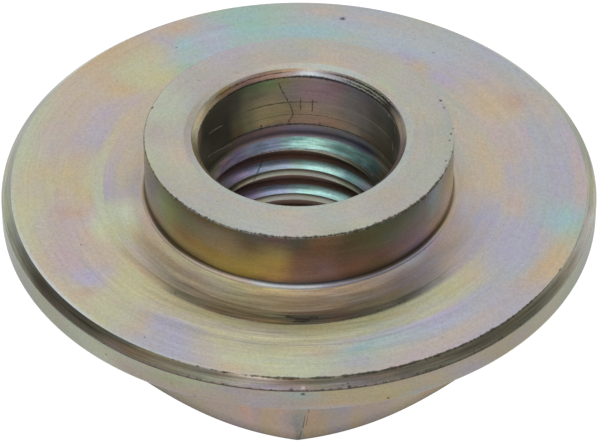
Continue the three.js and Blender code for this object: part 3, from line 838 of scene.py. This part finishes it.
# ragged dark edges, painted shade on the recess's cone in front, and scuffed bright edges
torn = weighted((turned(6, 60, 3, 7, 0.7), 0.7), (turned(9, 18, 2, 8), 0.5),
                (turned(1.6, 75, 2, 17, 0.6), 0.8), (1, -0.5))
soiled_and_shaded = step(maths("MULTIPLY_ADD", stored("soil_and_shade"), 1.3, times(torn, -1)), 0, 0.22)
scuffs = turned(7, 14, 3, 11, 0.6)
scuffed = step(maths("MULTIPLY_ADD", stored("wear"), 1.2, times(scuffs, -1)), 0, 0.3)
base = cover(SCUFFED, times(scuffed, 0.6), base)
base = cover(SOILED_AND_SHADED, times(soiled_and_shaded, 0.75), base)
base = cover(SPECK, weighted((speck, 0.22), (dust, 0.12)), base)

# single scratches, nicks and spots, placed by degrees round the axis, radius and height
uneven = vector("SUBTRACT", new("TexNoise", where, None, 9, 2).outputs["Color"], (0.5, 0.5, 0.5))
near_here = vector("MULTIPLY_ADD", uneven, (0.12, 0.12, 0.12), where)  # so that no mark is quite straight


def scratch(width, *points):
    """A mask of a line through the points."""
    places = [Vector((r * cos(radians(t)), r * sin(radians(t)), z)) for t, r, z in points]
    strokes = []
    for start, end in zip(places, places[1:]):
        reach = end - start + Vector((0, 0, 0.001))
        along_it = measure("DOT_PRODUCT", vector("SUBTRACT", near_here, start), reach / reach.length_squared)
        held = new("Math", along_it, 0, operation="ADD", use_clamp=True).outputs[0]
        off = measure("DISTANCE", near_here, vector("MULTIPLY_ADD", held, reach, start))
        strokes.append(within(off, width * 0.2, width))
    return highest(strokes)


def wall_scratch(width, *points):
    """The same on the counterbore's wall, through points that give degrees and height."""
    return scratch(width, *[(turn, BORE_RADIUS, level) for turn, level in points])


def wall_lines(*rings):
    """Masks of ring marks on the counterbore's wall: height, the degrees they go from and to, width."""
    on_wall = within(radius, 5.05, 5.1)
    near_height = new("SeparateXYZ", near_here).outputs[2]
    masks = []
    for level, low, high, width in rings:
        mask = within(maths("ABSOLUTE", maths("SUBTRACT", near_height, level)), width * 0.4, width)
        for edge, way in ((low, 1), (high, -1)):
            past = maths("MULTIPLY_ADD", turn_degrees, way, -way * edge)
            mask = times(mask, step(past, -4, 8))
        masks.append(times(mask, on_wall))
    return masks


def spot(length, size, turn, out, level):
    """A mask of a small spot, length degrees long."""
    return scratch(size, (turn, out, level), (turn + length, out, level))


# Scratches on the counterbore's wall: width, then the degrees and height of each point
DARK_ON_WALL = (
    (0.045, (102.5, 11.95), (100.8, 11.55), (98, 10.97), (95.2, 10.4), (94, 9.94), (95.2, 9.64), (96.8, 9.5)),
    (0.05, (89.7, 10.8), (89.4, 10.2)), (0.055, (82.5, 10.82), (82.9, 10.14)),
    (0.045, (86.5, 10.66), (83, 10.7), (79.8, 10.74)), (0.06, (96, 9.32), (96.4, 9.5)),
    (0.06, (78, 9.3), (78.3, 9.45)), (0.06, (113, 9.3), (113.2, 9.5)))
PALE_ON_WALL = (
    (0.05, (154, 10.91), (147, 10.77), (141, 10.63)),
    (0.05, (157, 9.58), (149, 9.4), (141.5, 9.24), (134, 9.09)), (0.1, (26.8, 12), (26.5, 12.03)),
    (0.06, (18.5, 11.8), (17, 11.6)), (0.07, (21.6, 10.7), (20.4, 10.32)),
    (0.09, (33.2, 9.16), (32.6, 9.08)), (0.08, (23.4, 9.14), (22.6, 9.1)))

# Spots: degrees round the axis, radius or height, size
FACE_SPOTS = ((80.5, 12.61, 0.2), (121.5, 11.8, 0.07), (56, 11.78, 0.07), (301, 12.9, 0.05),
              (238, 13.1, 0.05), (205, 11.2, 0.05))
COLLAR_SPOTS = ((21, 7.24, 0.1), (16.5, 7.2, 0.07), (1, 7.2, 0.06), (357, 7.12, 0.06), (345, 7.15, 0.07),
                (164, 7.26, 0.08), (140, 6.3, 0.04), (232, 6.1, 0.035))
RIM_SPOTS = ((251, 8.28, 0.06), (287, 8.41, 0.07), (271.2, 9.22, 0.12), (232, 8.8, 0.05))

dark_marks = [
    *[wall_scratch(*mark) for mark in DARK_ON_WALL],
    *wall_lines((10.68, 86, 124, 0.04), (9.9, 40, 120, 0.02), (12.34, 26, 66, 0.03), (12.46, 18, 74, 0.035),
                (12.27, 62, 98, 0.03), (12.42, 96, 150, 0.025), (12.24, 20, 160, 0.025)),
    # across the shelf and the first flank of the thread
    scratch(0.06, (113.5, 4.6, 7.38), (116, 4.4, 7.26), (120, 4.17, 7.12), (123, MINOR_RADIUS, 6.8)),
    # on the recess's cone in front
    scratch(0.1, (269.4, 9.97, 9.78), (272, 9.99, 9.78)),
    scratch(0.17, (267.4, 9.6, 9.74), (269, 9.68, 9.75)),
    scratch(0.2, (269.9, 9.74, 9.76), (272.8, 9.82, 9.76)),
    scratch(0.1, (273.4, 9.7, 9.75), (275.5, 9.72, 9.75)),
    # beside the hexagon's front corner
    scratch(0.05, (270, 9.23, 1.75), (269.9, 9.23, 1.2)),
    scratch(0.045, (270.5, 9.19, 1.5), (271.3, 9.12, 2)),
    scratch(0.04, (271.6, 9.1, 2.2), (272.4, 9.03, 2.9)),
    scratch(0.03, (272.6, 9.01, 2.2), (273.6, 8.93, 3.3)),
    *[spot(0.1, size, turn, out, CLAMPING_FACE) for turn, out, size in FACE_SPOTS],
    *[spot(0.4, size, turn, out, COLLAR_END) for turn, out, size in COLLAR_SPOTS],
    *[spot(0.2, size, turn, FLANGE_RADIUS, level) for turn, level, size in RIM_SPOTS]]
pale_marks = [
    *wall_lines((12.39, 34, 78, 0.025), (12.51, 24, 60, 0.02), (12.29, 36, 60, 0.02), (9.36, 58, 126, 0.025),
                (12.33, 62, 92, 0.02), (10.68, 25, 76, 0.03), (9.07, 43, 67, 0.035), (12.12, 6, 32, 0.04)),
    *[wall_scratch(*mark) for mark in PALE_ON_WALL],
    scratch(0.12, (271.2, 14.08, 9.5), (271.4, 14.1, 9.5))]
base = cover(DARK_MARK, times(highest(dark_marks), 0.75), base)
base = cover(PALE_MARK, times(highest(pale_marks), 0.6), base)

rough = weighted((stored("gloss"), 1), (broad_marks, 0.12), (soiled_and_shaded, 0.2), (1, -0.06))
relief = weighted((marks, 1), (broad_marks, 1.5), (mottle(2.2, 3, 12), 1.5), (speck, -2))
bump = new("Bump")
fill(bump.inputs["Distance"], BUMP_HEIGHT)
fill(bump.inputs["Height"], relief)
shader = tree.nodes["Principled BSDF"].inputs
fill(shader["Base Color"], base)
fill(shader["Metallic"], stored("metal"))
fill(shader["Roughness"], rough)
fill(shader["Normal"], bump.outputs["Normal"])
mesh.materials.append(steel)

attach(nut, "root")
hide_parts("flange_nut")

# -------------------- floor and light
FLOOR_SIZE = 12  # metres
bpy.ops.mesh.primitive_plane_add(size=FLOOR_SIZE)
floor = bpy.context.object
floor.name = "floor"
paper = bpy.data.materials.new("paper")
paper.use_nodes = True
tree = paper.node_tree
tree.nodes.clear()
rays = new("LightPath").outputs
seen = highest([rays["Is Camera Ray"], rays["Is Glossy Ray"], rays["Is Transmission Ray"]])
white = new("Emission", (1, 1, 1, 1), 1)
faint = new("BsdfDiffuse", (0.1, 0.1, 0.1, 1))
bright = new("AddShader", white.outputs[0], faint.outputs[0])
plain = new("BsdfDiffuse", (0.8, 0.8, 0.8, 1))
from_above = new("MixShader", seen, plain.outputs[0], bright.outputs[0])
from_below = new("BsdfTransparent")
backward = new("NewGeometry").outputs["Backfacing"]
sheet = new("MixShader", backward, from_above.outputs[0], from_below.outputs[0])
new("OutputMaterial", sheet.outputs[0])
floor.data.materials.append(paper)

world = bpy.data.worlds.new("studio")
scene.world = world
world.use_nodes = True
tree = world.node_tree
tree.nodes.clear()
way = new("TexCoord").outputs["Generated"]


def lobe(direction, edge, full):
    """A soft patch of light: 0 outside edge degrees from the direction, 1 inside full degrees."""
    dot = measure("DOT_PRODUCT", way, Vector(direction).normalized())
    return step(dot, cos(radians(edge)), cos(radians(full)))


far = lobe((0, 0.74, 0.68), 72, 22)
top = lobe((0, -0.12, 1), 42, 12)
front = lobe((0, -0.76, 0.65), 55, 10)
below = lobe((0, 0, -1), 90, 84)
sky = weighted((maths("MAXIMUM", far, top), 0.56), (front, 0.3), (1, 0.46))
level = maths("MAXIMUM", sky, below)
new("OutputWorld", new("Background", level, 1).outputs[0])

# -------------------- camera
ELEVATION = radians(40.5)
ASIDE = radians(0.6)
DISTANCE = 0.1932  # metres, from the middle of the clamping face
SENSOR_WIDTH = 36
FOCAL_LENGTH = 243
PITCH_DOWN = 0.01012  # radians, as the next two, from the view straight at the middle of the face
YAW = 0.000247
ROLL = -0.00157

camera = bpy.data.objects.new("camera", bpy.data.cameras.new("camera"))
scene.collection.objects.link(camera)
scene.camera = camera
level_aside = Vector((sin(ASIDE), -cos(ASIDE), 0))
back = level_aside * cos(ELEVATION) + Vector((0, 0, sin(ELEVATION)))
camera.location = Vector((0, 0, CLAMPING_FACE * MILLIMETRE)) + back * DISTANCE
camera.data.sensor_width = SENSOR_WIDTH
camera.data.lens = FOCAL_LENGTH
camera.data.clip_start = 0.01
camera.data.clip_end = 100
straight = (-back).to_track_quat("-Z", "Y").to_matrix()
turn = Matrix.Rotation(-YAW, 3, "Y") @ Matrix.Rotation(-PITCH_DOWN, 3, "X") @ Matrix.Rotation(ROLL, 3, "Z")
camera.rotation_mode = "QUATERNION"
camera.rotation_quaternion = (straight @ turn).to_quaternion()

scene.view_settings.view_transform = "Standard"
